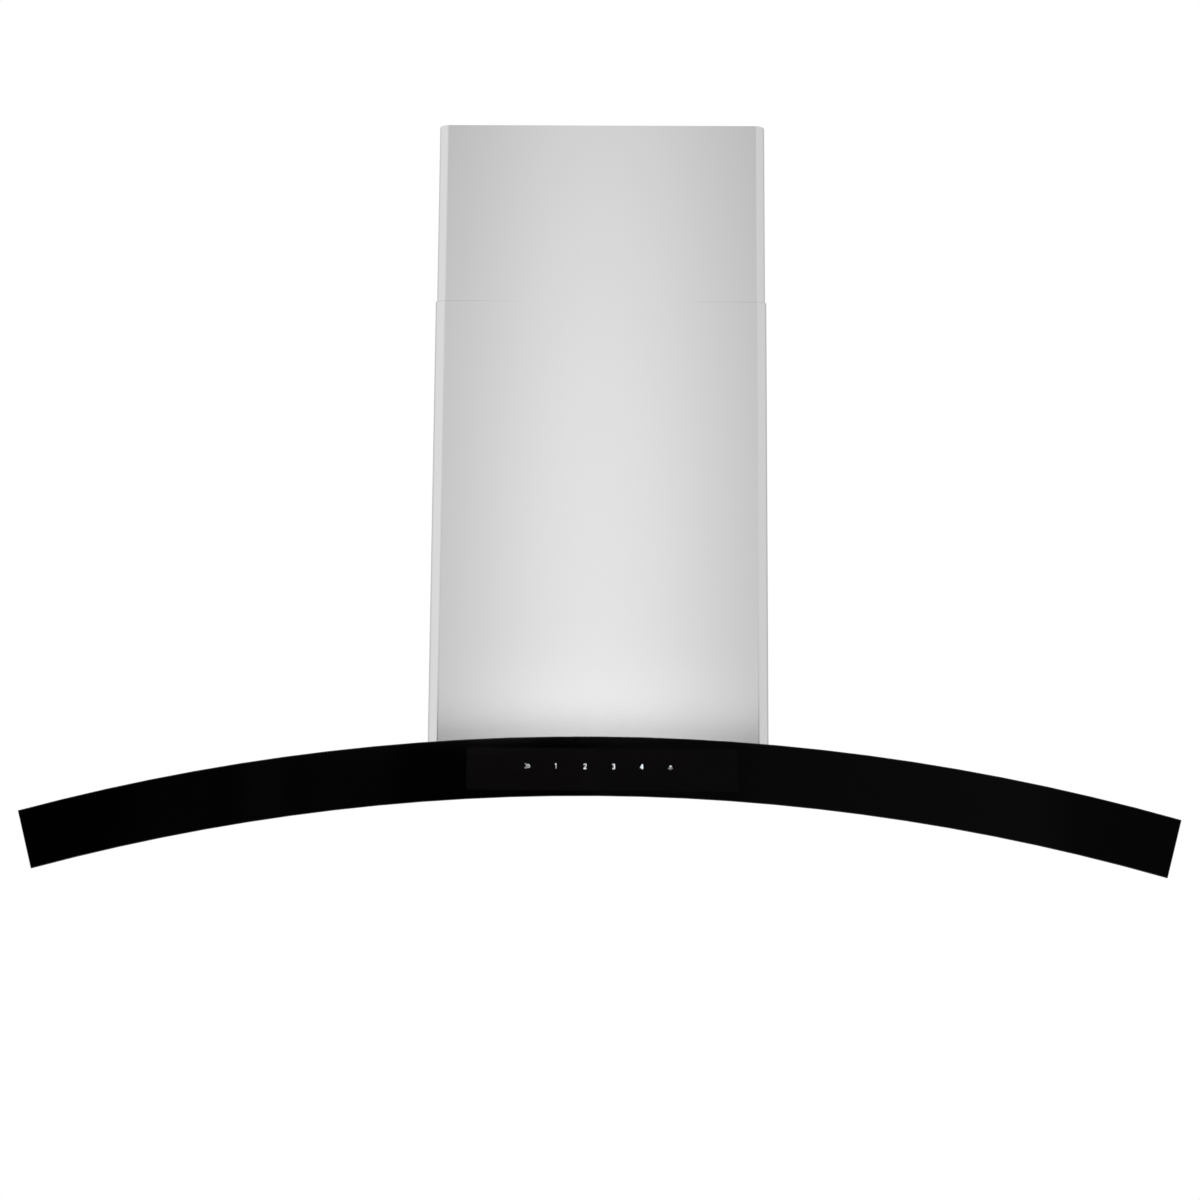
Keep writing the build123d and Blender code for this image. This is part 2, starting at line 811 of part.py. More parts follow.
def motor_housing():
    """The motor, from inside the wheel out through the right inlet."""
    start, end = motor_start, motor_start + motor_length
    body = bar(motor_radius, start, end, axis_y, axis_z)
    body = fillet(body.edges().filter_by(GeomType.CIRCLE), motor_round)
    body = body + bar(motor_flange, bracket_face, bracket_face + tab_sheet, axis_y, axis_z)
    body = body - bar(shaft_radius + 1, start - 1, end + 1, axis_y, axis_z)
    for low, high in ((start - 1, start + bearing_length), (end - bearing_length, end + 1)):
        body = body - bar(bearing_radius, low, high, axis_y, axis_z)
    for angle in inlet_screw_places():
        y, z = spoke_point(flange_screw_radius, angle + 60)
        low, high = bracket_face - 1, bracket_face + 2 * tab_sheet
        body = body - bar(motor_screw + screw_clearance, low, high, y, z)
    return body


def motor_bearings():
    """One bearing at each end of the motor, with a running fit on the shaft."""
    start, end = motor_start, motor_start + motor_length
    rings = []
    for low, high in ((start, start + bearing_length), (end - bearing_length, end)):
        ring = bar(bearing_radius - bearing_seat, low, high, axis_y, axis_z)
        rings.append(ring - bar(shaft_radius + shaft_running, low - 1, high + 1, axis_y, axis_z))
    return group(rings)


def motor_bracket():
    """The ring round the motor with three arms to the scroll's side plate."""
    low, high = bracket_face - tab_sheet, bracket_face
    body = bar(bracket_ring, low, high, axis_y, axis_z)
    for angle in inlet_screw_places():
        arm = block(low, high, 0, bracket_reach, -bracket_arm / 2, bracket_arm / 2)
        body = body + Pos(0, axis_y, axis_z) * Rot(angle, 0, 0) * arm
    body = body - bar(motor_radius + pane_gap, low - 1, high + 1, axis_y, axis_z)
    for angle in inlet_screw_places():
        for radius, turn in ((arm_screw_radius, 0), (flange_screw_radius, 60)):
            y, z = spoke_point(radius, angle + turn)
            body = body - bar(motor_screw + screw_clearance, low - 1, high + 1, y, z)
    return body


def motor_screws():
    """Three screws in the motor's flange and three in the bracket's arms."""
    one = Rot(0, -90, 0) * pan_head_screw(motor_screw, motor_screw_head, motor_screw_length)
    screws = []
    for angle in inlet_screw_places():
        screws.append(Pos(bracket_face, *spoke_point(arm_screw_radius, angle)) * one)
        screws.append(Pos(bracket_face + tab_sheet, *spoke_point(flange_screw_radius, angle + 60)) * one)
    return group(screws)


def capacitor():
    """The motor's run capacitor, standing against the left wall of the blower box."""
    wall = sheet - box_half
    x, y = wall + capacitor_radius, box_back - capacitor_wall_gap
    low = axis_z - capacitor_length / 2
    can = post(capacitor_radius, x, y, low, low + capacitor_length)
    can = fillet(can.edges().filter_by(GeomType.CIRCLE), capacitor_radius / 10)
    foot = capacitor_radius / 2
    return can + block(wall, x, y - foot, y + foot, low + foot, low + capacitor_length - foot)


# Duct outlet and damper

def duct_collar():
    """The round outlet with its flange, a stop ring and holes for the damper rod."""
    body = post(duct_radius + duct_rim, 0, outlet_y, box_top, box_top + sheet)
    body = body + post(duct_radius, 0, outlet_y, box_top, box_top + duct_height)
    body = body - post(duct_bore, 0, outlet_y, box_top - 1, box_top + duct_height + 1)
    stop_top = rod_z - flap / 2 - pane_gap
    ring = post(duct_bore + sheet / 2, 0, outlet_y, stop_top - sheet, stop_top)
    ring = ring - post(duct_bore - stop_ring, 0, outlet_y, stop_top - 2 * sheet, stop_top + sheet)
    body = body + ring
    front, back = outlet_y - flap_slit, outlet_y + flap_slit
    slit = block(-far * 2, far * 2, front, back, stop_top - 2 * sheet, stop_top + sheet)
    body = body - (slit & post(duct_bore, 0, outlet_y, stop_top - far, stop_top + far))
    return body - bar(rod_radius, -far * 2, far * 2, outlet_y, rod_z)


def damper_rod():
    return bar(rod_radius, -duct_radius, duct_radius, outlet_y, rod_z)


def damper_flap(side):
    """A half-round flap, with knuckles that take turns with the other flap's."""
    radius = duct_bore - flap_gap
    disc = post(radius, 0, outlet_y, rod_z - flap / 2, rod_z + flap / 2)
    near, edge = outlet_y + flap_slit * side, outlet_y + duct_radius * side
    plate_half = disc & block(-far * 2, far * 2, near, edge, rod_z - flap, rod_z + flap)
    knuckles = []
    barrel = rod_radius + knuckle_wall
    reach = radius - 3
    pitch = 2 * reach / knuckle_count
    first = 0 if side < 0 else 1
    for i in range(first, knuckle_count, 2):
        low = -reach + i * pitch + knuckle_gap / 2
        high = low + pitch - knuckle_gap
        web = block(low, high, outlet_y, near, rod_z - flap / 2, rod_z + flap / 2)
        hole = bar(rod_radius + shaft_running, low - 1, high + 1, outlet_y, rod_z)
        knuckles.append(bar(barrel, low, high, outlet_y, rod_z) + web - hole)
    return group([plate_half] + knuckles)


# Electrical boxes

def gland_place(z):
    """A point on the axis of the gland, above the left half of the terminal box."""
    return Pos(-junction_half / 2, (junction_front + junction_back) / 2, z)


def junction_box():
    """The open terminal box on top of the blower box."""
    half, front, back, w = junction_half, junction_front, junction_back, junction_wall
    tray = block(-half, half, front, back, box_top, junction_top)
    return tray - block(w - half, half - w, front + w, back - w, box_top + w, junction_top + far)


def junction_lid():
    half, front, back = junction_half, junction_front, junction_back
    lid = block(-half, half, front, back, junction_top, junction_top + junction_wall)
    lid = fillet(lid.edges().group_by(Axis.Z)[-1], junction_wall / 2)
    return lid - gland_place(junction_top) * Cylinder(gland_barrel, far)


def terminal_block():
    """The terminals on the floor of the box, one well for each wire."""
    floor = box_top + junction_wall
    middle = (junction_front + junction_back) / 2
    half = terminal_count * terminal_pitch / 2
    top = floor + terminal_height
    body = block(-half, half, middle - terminal_pitch, middle + terminal_pitch, floor, top)
    places = [(i + 0.5) * terminal_pitch - half for i in range(terminal_count)]
    return body - [post(terminal_well, x, middle, (floor + top) / 2, top + 1) for x in places]


def cable_gland():
    """The gland in the lid, with a nut below the lid and a hexagon and a dome above it."""
    above = junction_top + junction_wall
    hexagon = gland_place(above) * extrude(RegularPolygon(gland_hex, 6), gland_nut)
    lock = gland_place(junction_top - gland_lock) * extrude(RegularPolygon(gland_hex, 6), gland_lock)
    upward = (Align.CENTER, Align.CENTER, Align.MIN)
    dome = gland_place(above + gland_nut) * Cylinder(gland_dome, gland_dome_height, align=upward)
    dome = fillet(dome.edges().sort_by(Axis.Z)[-1], gland_dome_round)
    low = junction_top - gland_tail
    barrel = gland_place(low) * Cylinder(gland_barrel - bearing_seat, above + 1 - low, align=upward)
    bore = gland_place(above) * Cylinder(gland_bore, 4 * far)
    return hexagon + lock + dome + barrel - bore


def power_place():
    """The driver box hangs under the top skin, in the left wing of the canopy."""
    drop = (power_width / 2) ** 2 / (2 * skin_inner)
    return on_arch(skin_inner - drop, -power_angle, body_front / 2)


def power_box():
    """The closed box of the light and blower driver."""
    half_x, half_y = power_width / 2, power_length / 2
    w = power_wall
    box = block(-half_x, half_x, -half_y, half_y, -power_height, 0)
    hollow = block(w - half_x, half_x - w, w - half_y, half_y - w, w - power_height, -w)
    return power_place() * (box - hollow)


def power_board():
    """The board in the driver box, with a transformer and two round parts."""
    w = power_wall
    floor = w - power_height
    top = floor + transformer_height
    half_x, half_y = power_width / 2 - w - board_fit, power_length / 2 - w - board_fit
    body = block(-half_x, half_x, -half_y, half_y, floor, floor + board)
    half = transformer_width / 2
    body = body + block(-half, half, -half_y / 2 - half, half - half_y / 2, floor, top)
    for y in (half_y / 3, 2 * half_y / 3):
        body = body + post(transformer_width / 5, 0, y, floor, top)
    return power_place() * body


# Chimney covers

def cover_face(inset):
    """The plan of a cover: a channel open to the wall, with lips turned in at the back."""
    half = chimney_width / 2 - inset
    front, back = inset - chimney_depth, -inset
    corner = chimney_corner - inset
    outer = Pos(0, (front + back) / 2) * Rectangle(2 * half, back - front)
    outer = fillet(outer.vertices().group_by(Axis.Y)[0], corner)
    s = chimney_sheet
    inner = Pos(0, (front + back) / 2) * Rectangle(2 * (half - s), back - front - 2 * s)
    inner = fillet(inner.vertices().group_by(Axis.Y)[0], corner - s)
    mouth = Pos(0, back) * Rectangle(2 * (half - chimney_lip), far)
    return outer - inner - mouth


def tab_screw_height():
    return apex + tab_bottom + tab_height / 2


def lower_chimney_cover():
    """The lower cover, standing on the top pane."""
    body = extrude(Pos(0, 0, apex - far) * cover_face(0), far + seam_height)
    body = body - under_arch(arch_radius + pane_gap)
    return body - bar(screw + screw_clearance, -far * 5, far * 5, -chimney_depth / 2, tab_screw_height())


def upper_inset():
    return chimney_sheet + chimney_fit


def upper_screw_place():
    return -upper_inset() - chimney_sheet - bracket_ear / 2, apex + chimney_top - cover_screw_below_top


def upper_chimney_cover():
    """The upper cover, which slides inside the lower one."""
    low = apex + chimney_top - upper_cover_height
    body = extrude(Pos(0, 0, low) * cover_face(upper_inset()), upper_cover_height)
    y, z = upper_screw_place()
    return body - bar(screw + screw_clearance, -far * 5, far * 5, y, z)


def upper_bracket():
    """The wall bracket inside the top of the upper cover, with an ear at each side."""
    inside = chimney_width / 2 - upper_inset() - chimney_sheet
    lip_front = -upper_inset() - chimney_sheet - bracket_lip_gap
    y, z = upper_screw_place()
    low, high = z - bracket_height / 2, z + bracket_height / 2
    base_half = chimney_width / 2 - upper_inset() - chimney_lip - bracket_sheet
    body = block(-base_half, base_half, -bracket_sheet, 0, low, high)
    for side in (-1, 1):
        join, end = side * (base_half - 2 * bracket_sheet), side * inside
        ear = side * (inside - bracket_sheet)
        body = body + block(join, end, lip_front - bracket_sheet, lip_front, low, high)
        body = body + block(join, side * base_half, lip_front - bracket_sheet, 0, low, high)
        body = body + block(ear, end, lip_front - bracket_ear, lip_front, low, high)
        body = body - pin(wall_hole, side * bracket_hole_spacing / 2, -far, far, z)
    return body - bar(screw + screw_clearance, -far * 5, far * 5, y, z)


def side_screws(face_x, y, z):
    """One screw through each side wall, with its head outside."""
    one = pan_head_screw(screw, screw_head, screw_length)
    right = Pos(face_x, y, z) * Rot(0, -90, 0) * one
    left = Pos(-face_x, y, z) * Rot(0, 90, 0) * one
    return group([left, right])


def chimney_tabs():
    """The brackets on the sides of the blower box that hold the lower cover."""
    inside = chimney_width / 2 - chimney_sheet
    low, high = apex + tab_bottom, apex + tab_bottom + tab_height
    near, back = -chimney_depth / 2 - tab_depth / 2, -chimney_depth / 2 + tab_depth / 2
    brackets = []
    for side in (-1, 1):
        bracket = block(side * box_half, side * inside, near, back, low, high)
        hollow_start, hollow_end = side * (box_half + tab_sheet), side * (inside - tab_sheet)
        bracket = bracket - block(hollow_start, hollow_end, near - 1, back + 1, low + tab_sheet, high + 1)
        middle = -chimney_depth / 2
        near, past = side * (inside - 5), side * (inside + 5)
        drill = bar(screw + screw_clearance, near, past, middle, tab_screw_height())
        brackets.append(bracket - drill)
    return group(brackets)


# Every node, in the order that the hood is put together

nodes = {
    "mounting_plate": mounting_plate(),
    **blower_box_sheets(),
    "canopy_body": canopy_body(),
    "box_screws": box_screws(),
    "underside_pan": underside_pan(),
    "pan_screws": pan_screws(),
    "front_glass": front_glass(),
    "front_glass_tape": front_glass_tape(),
    "top_glass": top_glass(),
    "top_glass_tape": top_glass_tape(),
    "touch_film": touch_film(),
    "control_board": control_board(),
    "control_housing": control_housing(),
    "power_box": power_box(),
    "power_board": power_board(),
    "scroll_wrap": scroll_wrap(),
    "scroll_side_left": scroll_side(-1),
    "scroll_side_right": scroll_side(1),
    "blower_wheel": blower_wheel(),
    "motor_shaft": motor_shaft(),
    "motor_housing": motor_housing(),
    "motor_bearings": motor_bearings(),
    "motor_bracket": motor_bracket(),
    "motor_screws": motor_screws(),
    "run_capacitor": capacitor(),
    "duct_collar": duct_collar(),
    "damper_rod": damper_rod(),
    "damper_flap_front": damper_flap(-1),
    "damper_flap_back": damper_flap(1),
    "junction_box": junction_box(),
    "junction_lid": junction_lid(),
    "terminal_block": terminal_block(),
    "cable_gland": cable_gland(),
    "lower_chimney_cover": lower_chimney_cover(),
    "chimney_tabs": chimney_tabs(),
    "lower_cover_screws": side_screws(chimney_width / 2, -chimney_depth / 2, tab_screw_height()),
    "upper_chimney_cover": upper_chimney_cover(),
    "upper_bracket": upper_bracket(),
    "upper_cover_screws": side_screws(chimney_width / 2 - upper_inset(), *upper_screw_place()),
}
for name, side in sides:
    nodes["lamp_bezel_" + name] = lamp_place(side) * lamp_bezel()
    nodes["lamp_lens_" + name] = lamp_place(side) * lamp_lens()
    nodes["lamp_module_" + name] = lamp_place(side) * lamp_module()
    nodes["filter_bay_" + name] = filter_bay(side)
    nodes["latch_strike_" + name] = bay_place(side) * latch_strike()
    nodes["filter_frame_" + name] = bay_place(side) * filter_frame()
    nodes["filter_baffles_" + name] = bay_place(side) * filter_baffles()
    nodes["filter_latch_" + name] = bay_place(side) * filter_latch()
    nodes["latch_spring_" + name] = bay_place(side) * latch_spring()

for name, shape in nodes.items():
    export_step(shape, f"parts/{name}.step")

print(f"{len(nodes)} nodes")
print(f"bay angle {bay_angle:.4f}, ledge front {ledge_front:.2f}, ledge top {ledge_top:.2f}")
print(f"outlet at y {outlet_y:.2f}, wheel axis at y {axis_y:.2f} z {axis_z:.2f}, rod at z {rod_z:.2f}")
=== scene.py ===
# %% [markdown]
# # A curved glass range hood
# The hood hangs on a kitchen wall: an arched black glass front, a bent glass top, a steel
# body with two grease filters and two lamps below, a blower inside, and two steel covers
# that slide into each other round the duct. Its shapes come ready made from the packed
# model, so this lesson loads them and then gives each one the finish it has in the shop.

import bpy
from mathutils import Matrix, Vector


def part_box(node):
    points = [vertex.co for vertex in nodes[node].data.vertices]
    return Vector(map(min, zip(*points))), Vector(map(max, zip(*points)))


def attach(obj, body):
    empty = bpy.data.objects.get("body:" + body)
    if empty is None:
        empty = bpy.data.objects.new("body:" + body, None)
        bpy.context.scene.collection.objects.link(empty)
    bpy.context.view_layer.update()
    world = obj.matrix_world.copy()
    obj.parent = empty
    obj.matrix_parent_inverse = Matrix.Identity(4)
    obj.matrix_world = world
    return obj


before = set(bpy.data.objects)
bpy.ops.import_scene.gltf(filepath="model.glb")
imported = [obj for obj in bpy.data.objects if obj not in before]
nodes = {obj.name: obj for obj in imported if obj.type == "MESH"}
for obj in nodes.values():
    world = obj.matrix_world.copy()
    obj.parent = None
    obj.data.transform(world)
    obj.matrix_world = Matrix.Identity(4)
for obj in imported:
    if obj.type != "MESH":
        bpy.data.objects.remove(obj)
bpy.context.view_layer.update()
print("pieces in the frame:", len(nodes))

# %% [markdown]
# Next come Blender's own modules and two helpers that measure a piece of the frame. What
# has to sit on a piece, such as the rings of a lamp lens or the painted shade at the covers'
# seam, takes its place from them and not from a number that somebody read off a screen.

# %% Modules and the scene
from math import cos, pi, radians, sin

import bmesh
import bpy
from mathutils import Matrix, Vector

scene = bpy.context.scene
scene.view_settings.view_transform = "Standard"


def corners(node):
    """The lowest and the highest corner of a piece, and the middle between them."""
    low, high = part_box(node)
    return low, high, (low + high) / 2


def size_of(node):
    """Width, depth and height of a piece, in metres."""
    low, high, _ = corners(node)
    return [round(v, 4) for v in high - low]


print("front glass:", size_of("front_glass"), "upper cover:", size_of("upper_chimney_cover"))

# %% [markdown]
# The photograph is taken from the height of the glass, just low enough that the glass hides
# the whole underside. The covers' sides lean together a little towards the top, so the
# camera stands less than two metres away and is tilted up. Tilt, turn, roll and the small
# shift of the picture make the outline of the frame fall on the outline in the photograph.

# %% The camera
CAMERA_PLACE = Vector((-0.0001, -1.8447, -0.1760))
TURN, TILT, ROLL = radians(-0.644), radians(6.880), radians(0.460)
LENS_MM, SENSOR_MM = 51.646, 36
SHIFT = (0.0168, -0.0315)


def camera_matrix(place, turn, tilt, roll):
    """Axes of a camera that looks along +Y, turned to its right, tilted up and rolled."""
    right = Vector((cos(turn), -sin(turn), 0))
    ahead = Vector((sin(turn), cos(turn), 0))
    forward = cos(tilt) * ahead + sin(tilt) * Vector((0, 0, 1))
    up = -sin(tilt) * ahead + cos(tilt) * Vector((0, 0, 1))
    rolled_right = cos(roll) * right + sin(roll) * up
    rolled_up = -sin(roll) * right + cos(roll) * up
    rows = zip(rolled_right, rolled_up, -forward, place)
    return Matrix([list(row) for row in rows] + [(0, 0, 0, 1)])


lens = bpy.data.cameras.new("camera")
lens.lens = LENS_MM
lens.sensor_width = SENSOR_MM
lens.shift_x, lens.shift_y = SHIFT
camera = bpy.data.objects.new("camera", lens)
camera.matrix_world = camera_matrix(CAMERA_PLACE, TURN, TILT, ROLL)
scene.collection.objects.link(camera)
scene.camera = camera
glass_front = corners("front_glass")[0].y
print("camera to the glass:", round(glass_front - CAMERA_PLACE.y, 3), "m")

# %% [markdown]
# A finish is a small graph of nodes. Written as plain arithmetic it reads like the recipe
# it is, so one class holds a socket and turns +, -, * and / into Math nodes. Every other
# node comes from its method `node`, which sets the node up first and then fills sockets.

# %% Colours and settings of a node
def set_up(node, settings):
    """Give a node its settings; a ramp's stops are pairs of a place and a grey or colour."""
    for name, value in settings.items():
        if name != "stops":
            setattr(node, name, value)
            continue
        ramp = node.color_ramp
        while len(ramp.elements) < len(value):
            ramp.elements.new(0.5)
        for element, (place, shade) in zip(ramp.elements, value):
            element.position = place
            element.color = colour(shade)


def colour(shade):
    """A colour with its alpha, from a grey or from three numbers."""
    if isinstance(shade, (int, float)):
        shade = (shade, shade, shade)
    return (*shade, 1)


print("a grey as a colour:", colour(0.5))


# %% Sockets that can be added and multiplied
class Wire:
    """One output of a node, or just the tree when there is no output yet."""

    def __init__(self, tree, socket=None):
        self.tree = tree
        self.socket = socket

    def node(self, kind, settings=None, inputs=None, output=0):
        made = self.tree.nodes.new(kind)
        set_up(made, settings or {})
        for name, value in (inputs or {}).items():
            if isinstance(value, Wire):
                self.tree.links.new(value.socket, made.inputs[name])
            else:
                made.inputs[name].default_value = value
        return Wire(self.tree, made.outputs[output] if made.outputs else None)

    def maths(self, operation, first, second=0.0):
        return self.node("ShaderNodeMath", {"operation": operation}, {0: first, 1: second})

    def __add__(self, other):
        return self.maths("ADD", self, other)

    def __radd__(self, other):
        return self.maths("ADD", other, self)

    def __sub__(self, other):
        return self.maths("SUBTRACT", self, other)

    def __rsub__(self, other):
        return self.maths("SUBTRACT", other, self)

    def __mul__(self, other):
        return self.maths("MULTIPLY", self, other)

    def __rmul__(self, other):
        return self.maths("MULTIPLY", other, self)

    def __truediv__(self, other):
        return self.maths("DIVIDE", self, other)

    def __rtruediv__(self, other):
        return self.maths("DIVIDE", other, self)


print("sockets can be added:", hasattr(Wire, "__radd__"))

# %% [markdown]
# A few words make the recipes short. A step is a soft edge between two values, a noise is
# the unevenness of every real surface, and a relief turns heights into a normal, so that
# fine grain catches the light without thousands of tiny faces.


# %% Words for the recipes
def step(wire, start, end, low=0.0, high=1.0):
    """A soft step: `low` before start, `high` after end."""
    inputs = {"Value": wire, "From Min": start, "From Max": end, "To Min": low, "To Max": high}
    return wire.node("ShaderNodeMapRange", {"interpolation_type": "SMOOTHSTEP"}, inputs)


def mixed(factor, first, second):
    """A colour between two colours."""
    inputs = {0: factor}
    for index, value in ((6, first), (7, second)):
        inputs[index] = value if isinstance(value, Wire) else colour(value)
    return factor.node("ShaderNodeMix", {"data_type": "RGBA"}, inputs, output=2)


def place_on(tree):
    """The place on the piece, in metres in the frame's axes."""
    return tree.node("ShaderNodeTexCoord", output="Object")


def axes(vector):
    """The three numbers of a place or direction."""
    return [vector.node("ShaderNodeSeparateXYZ", inputs={0: vector}, output=i) for i in range(3)]


def flat_length(x, y):
    """How far a point lies from the middle, seen from above."""
    return x.maths("SQRT", x * x + y * y)


def stretched(vector, scale):
    """A place with each of its three numbers multiplied, which squeezes a pattern on it."""
    return vector.node("ShaderNodeVectorMath", {"operation": "MULTIPLY"}, {0: vector, 1: scale})


def noise(vector, scale, detail=2.0, roughness=0.5):
    """Uneven greys, about `scale` patches to the metre."""
    inputs = {"Vector": vector, "Scale": scale, "Detail": detail, "Roughness": roughness}
    return vector.node("ShaderNodeTexNoise", inputs=inputs)


def relief(height, strength, depth):
    """The normal of a surface that is `depth` metres deep at most."""
    inputs = {"Height": height, "Strength": strength, "Distance": depth}
    return height.node("ShaderNodeBump", inputs=inputs)


print("words:", ", ".join(word.__name__ for word in (step, mixed, axes, noise, relief)))

# %% One function for every finish
finishes = {}


def finish(name, constants, build):
    """A material: fixed numbers on the shader, and what `build` returns over the surface."""
    material = bpy.data.materials.new(name)
    material.use_nodes = True
    tree = Wire(material.node_tree)
    shader = material.node_tree.nodes["Principled BSDF"]
    for socket, value in constants.items():
        shader.inputs[socket].default_value = value
    for socket, wire in build(place_on(tree)).items():
        material.node_tree.links.new(wire.socket, shader.inputs[socket])
    material.diffuse_color = constants["Base Color"]
    finishes[name] = material


print("finishes so far:", len(finishes))

# %% [markdown]
# A studio for polished things is mostly large white cloths. The background behind the hood
# is plain white. What the steel mirrors is white to the sides and grey in front, and before
# the covers hang two lit cloths: a tall faint one and a low bright strip just above the
# glass. In front of the glass itself hangs a dark cloth, because flat glass mirrors one
# small patch of the room, and here that patch is dark. The cloths are placed by slopes: how
# far across and how far up for one step away from the wall. The shades of the walls, to the
# right, behind the hood and below, go by the direction alone.

# %% Numbers of the studio
ROOM_LIGHT = 0.5
LEAST_AHEAD = 0.001
FRONT_HALF = {"start": 0.2, "end": 0.5}
WALLS = {"start": -0.9, "end": 0.2, "low": 0.72, "high": 0.87}
RIGHT_SHADE = {"start": 0.1, "end": 0.5, "low": 0.0, "high": 0.10}
REAR_SHADE = {"start": 0.2, "end": 0.9, "low": 0.0, "high": 0.28}
GREY_FRONT, FRONT_WIDE = 0.765, 0.20
TALL_GLOW = {"power": 1.04, "wide": 0.097, "tall": 0.68, "height": 0.050}
LOW_GLOW = {"power": 2.3, "wide": 0.106, "tall": 0.013, "height": 0.022}
CLOTH_REACH, CLOTH_LOW, CLOTH_HIGH, CLOTH_HEM = 0.355, -0.075, 0.0215, 0.003
CLOTH_SHADES = (
    (-0.34, 0.006), (-0.275, 0.006), (-0.262, 0.018), (-0.225, 0.021), (-0.212, 0.014),
    (-0.197, 0.042), (-0.185, 0.040), (-0.176, 0.022), (-0.160, 0.029), (-0.122, 0.026),
    (-0.108, 0.008), (-0.012, 0.008), (0.002, 0.040), (0.078, 0.042), (0.092, 0.062),
    (0.20, 0.072), (0.25, 0.080), (0.275, 0.050), (0.34, 0.040),
)
print("dark cloth:", len(CLOTH_SHADES), "shades over a slope of", 2 * CLOTH_REACH)

# %% Directions in the room
room = bpy.data.worlds.new("studio")
room.use_nodes = True
room.node_tree.nodes.clear()
sky = Wire(room.node_tree)
way = sky.node("ShaderNodeTexCoord", output="Generated")
east, north, height = axes(way)
ahead = sky.maths("MAXIMUM", 0 - north, LEAST_AHEAD)
across = east / ahead
upward = height / ahead
front = step(0 - north, **FRONT_HALF)
print("nodes for the directions:", len(room.node_tree.nodes))


# %% What the steel and the glass mirror
def bell(spread):
    """1 in the middle, falling off softly to 0 as `spread` grows."""
    return sky.maths("EXPONENT", 0 - spread)


def lit_cloth(power, wide, tall, height):
    """A soft bright patch, given by its strength, its half sizes and its height."""
    above = upward - height
    return bell(across * across / wide**2 + above * above / tall**2) * power


def between(wire, low, high, hem):
    """1 from low to high, with a soft hem outside."""
    return step(wire, low - hem, low) * step(wire, high + hem, high)


grey_middle = bell(across * across / FRONT_WIDE**2) * front * GREY_FRONT
white = step(height, **WALLS) - grey_middle
white = white - step(east, **RIGHT_SHADE) - step(north, **REAR_SHADE)
white = white + (lit_cloth(**TALL_GLOW) + lit_cloth(**LOW_GLOW)) * front
cloth = front * between(across, -CLOTH_REACH, CLOTH_REACH, CLOTH_HEM)
cloth = cloth * between(upward, CLOTH_LOW, CLOTH_HIGH, CLOTH_HEM)
stops = [((place + CLOTH_REACH) / (2 * CLOTH_REACH), shade) for place, shade in CLOTH_SHADES]
share_across = (across + CLOTH_REACH) / (2 * CLOTH_REACH)
cloth_colour = sky.node("ShaderNodeValToRGB", {"stops": stops}, {"Fac": share_across})
cloth_shade = axes(cloth_colour)[0]
mirrored = white * (1 - cloth) + cloth_shade * cloth
print("nodes with the cloths:", len(room.node_tree.nodes))

# %% [markdown]
# The same room has to be three things. Whoever looks past the hood or through a pane sees
# plain white, whatever mirrors sees the cloths, and whatever is dull gets one even light.
# Light Path tells these three apart.

# %% What each kind of ray meets
rays = sky.node("ShaderNodeLightPath", output="Is Camera Ray")
through = sky.node("ShaderNodeLightPath", output="Is Transmission Ray")
glossy = sky.node("ShaderNodeLightPath", output="Is Glossy Ray")
seen = sky.maths("MAXIMUM", rays, through)
strength = seen + (1 - seen) * (glossy * mirrored + (1 - glossy) * ROOM_LIGHT)
backdrop = sky.node("ShaderNodeBackground", inputs={"Color": colour(1.0), "Strength": strength})
sky.node("ShaderNodeOutputWorld", inputs={"Surface": backdrop})
scene.world = room
print("room light for plain surfaces:", ROOM_LIGHT)

# %% [markdown]
# Four large soft lamps give the dull pieces their shape: a stronger one from the upper left,
# two from the right and from below, and one behind for the rear. They are hidden from the
# camera and from mirrors, because the steel and the glass already mirror the cloths.

# %% Lamps
LAMPS = (
    ("lamp_high_left", (-1.9, -2.3, 1.9), 1.8, 46),
    ("lamp_high_right", (2.2, -1.8, 1.5), 1.8, 30),
    ("lamp_low", (0.5, -2.0, -0.85), 0.9, 12),
    ("lamp_behind", (-0.6, 1.9, 1.4), 1.6, 26),
)
AIM = Vector((0, -0.2, 0))
for name, place, width, watts in LAMPS:
    data = bpy.data.lights.new(name, "AREA")
    data.shape = "SQUARE"
    data.size = width
    data.energy = watts
    lamp = bpy.data.objects.new(name, data)
    lamp.location = place
    lamp.rotation_euler = (AIM - Vector(place)).to_track_quat("-Z", "Y").to_euler()
    lamp.visible_camera = False
    lamp.visible_glossy = False
    scene.collection.objects.link(lamp)
print("lamps:", len(LAMPS), "power:", sum(watts for *_, watts in LAMPS), "W")

# %% [markdown]
# The floor lies well below the hood, as a kitchen floor does. It is a round disc whose rim
# fades into the white of the background, so no edge shows, and it can be looked through
# from below, so that the underside of the hood can be seen from any angle.

# %% The floor
FLOOR_HEIGHT = -1.6
FLOOR_RADIUS = 3.2
FLOOR_SIDES = 96
FADE_START, FADE_END = 0.35, 0.95
SPECKS = 60.0


def floor_disc():
    """A flat round floor below the hood."""
    mesh = bpy.data.meshes.new("floor")
    disc = bmesh.new()
    bmesh.ops.create_circle(disc, cap_ends=True, segments=FLOOR_SIDES, radius=FLOOR_RADIUS)
    disc.to_mesh(mesh)
    disc.free()
    floor = bpy.data.objects.new("floor", mesh)
    floor.location = (0, 0, FLOOR_HEIGHT)
    scene.collection.objects.link(floor)
    return floor


